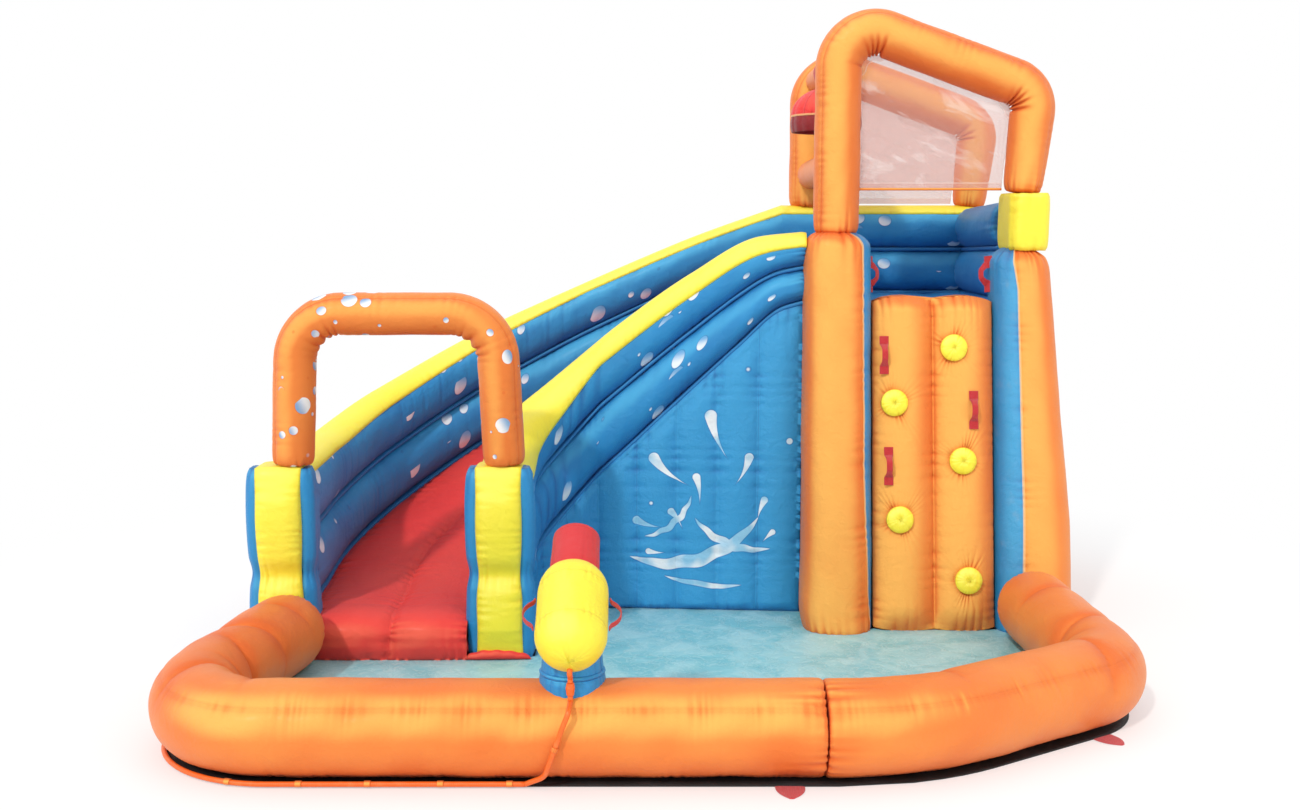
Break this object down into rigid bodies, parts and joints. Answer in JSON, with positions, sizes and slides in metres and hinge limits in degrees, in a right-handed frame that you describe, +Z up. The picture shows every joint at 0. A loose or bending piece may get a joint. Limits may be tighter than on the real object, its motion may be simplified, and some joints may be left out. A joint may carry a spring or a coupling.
{
  "type": "inflatable water park",
  "caption": "Inflatable water park: splash pool, curved slide with exit arch, climbing tower with tipping bucket, and a swivelling water cannon on the pool wall.",
  "frame": {"origin": "on the ground, at the middle of the footprint's width and depth", "axes": "+X to the tower side, +Y to the back of the slide, +Z up; the front of the pool faces -Y"},
  "size_m": [3.53, 3.34, 2.6651],
  "materials": {
    "orange_cloth": "satin coated polyester cloth",
    "blue_cloth": "satin coated polyester cloth",
    "yellow_cloth": "satin coated polyester cloth",
    "red_cloth": "satin coated polyester cloth",
    "pool_floor_cloth": "smooth coated cloth",
    "base_cloth": "matt coated cloth",
    "net": "open polyester net",
    "webbing": "woven polyester webbing",
    "hose": "soft plastic hose",
    "coupling_plastic": "moulded plastic"
  },
  "bodies": {
    "park": {"air_inlet_sleeve": "orange_cloth", "anchor_front": "webbing", "anchor_rear": "webbing", "anchor_right": "webbing", "cannon_cuff": "blue_cloth", "climbing_wall": "orange_cloth", "column_left": "orange_cloth", "column_right": "orange_cloth", "corner_block": "yellow_cloth", "crossbar_lower": "orange_cloth", "crossbar_upper": "orange_cloth", "foothold_1": "yellow_cloth", "foothold_2": "yellow_cloth", "foothold_3": "yellow_cloth", "foothold_4": "yellow_cloth", "foothold_5": "yellow_cloth", "front_frame": "orange_cloth", "front_net": "net", "front_wall_lower": "blue_cloth", "front_wall_strip": "yellow_cloth", "front_wall_upper": "blue_cloth", "ground_mat": "base_cloth", "guard_right_lower": "blue_cloth", "guard_right_upper": "blue_cloth", "hose_riser": "hose", "hose_run": "hose", "platform_deck": "blue_cloth", "pool_floor": "pool_floor_cloth", "pool_wall_front": "orange_cloth", "pool_wall_left": "orange_cloth", "pool_wall_right": "orange_cloth", "post_left": "blue_cloth", "post_right": "blue_cloth", "rear_frame": "orange_cloth", "rear_net": "net", "rear_wall_lower": "blue_cloth", "rear_wall_strip": "yellow_cloth", "rear_wall_upper": "blue_cloth", "side_handle_left": "webbing", "side_handle_right": "webbing", "slide_bed": "red_cloth", "slide_rear_panel": "orange_cloth", "slide_toe": "red_cloth", "splash_arch": "orange_cloth", "splash_panel": "blue_cloth", "tower_skirt": "orange_cloth", "wall_handle_1": "webbing", "wall_handle_2": "webbing", "wall_handle_3": "webbing"},
    "bucket_body": {"bucket": "red_cloth", "bucket_loop": "webbing"},
    "cannon_turntable": {"cannon_ring": "blue_cloth", "hose_coupling": "coupling_plastic", "hose_whip": "hose"},
    "cannon_gun": {"cannon_barrel": "yellow_cloth", "cannon_neck": "blue_cloth", "nozzle_sleeve": "red_cloth", "jet_nozzle": "coupling_plastic", "grip_left": "webbing", "grip_right": "webbing"}
  },
  "joints": [
    {"name": "bucket_swing", "type": "hinge", "parent": "park", "child": "bucket_body", "pos_m": [0.76, 0.94, 2.455], "axis": [0, 1, 0], "range_deg": [-55, 55]},
    {"name": "cannon_swivel", "type": "hinge", "parent": "park", "child": "cannon_turntable", "pos_m": [-0.317, -1.457, 0.332], "axis": [0, 0, 1], "range_deg": [-35, 35], "stiffness_Nm_per_rad": 6, "deforming": ["hose_riser"]},
    {"name": "cannon_tilt", "type": "hinge", "parent": "cannon_turntable", "child": "cannon_gun", "pos_m": [-0.317, -1.457, 0.43], "axis": [1, 0, 0], "range_deg": [-25, 8], "stiffness_Nm_per_rad": 25, "deforming": ["cannon_neck", "hose_whip"]}
  ]
}
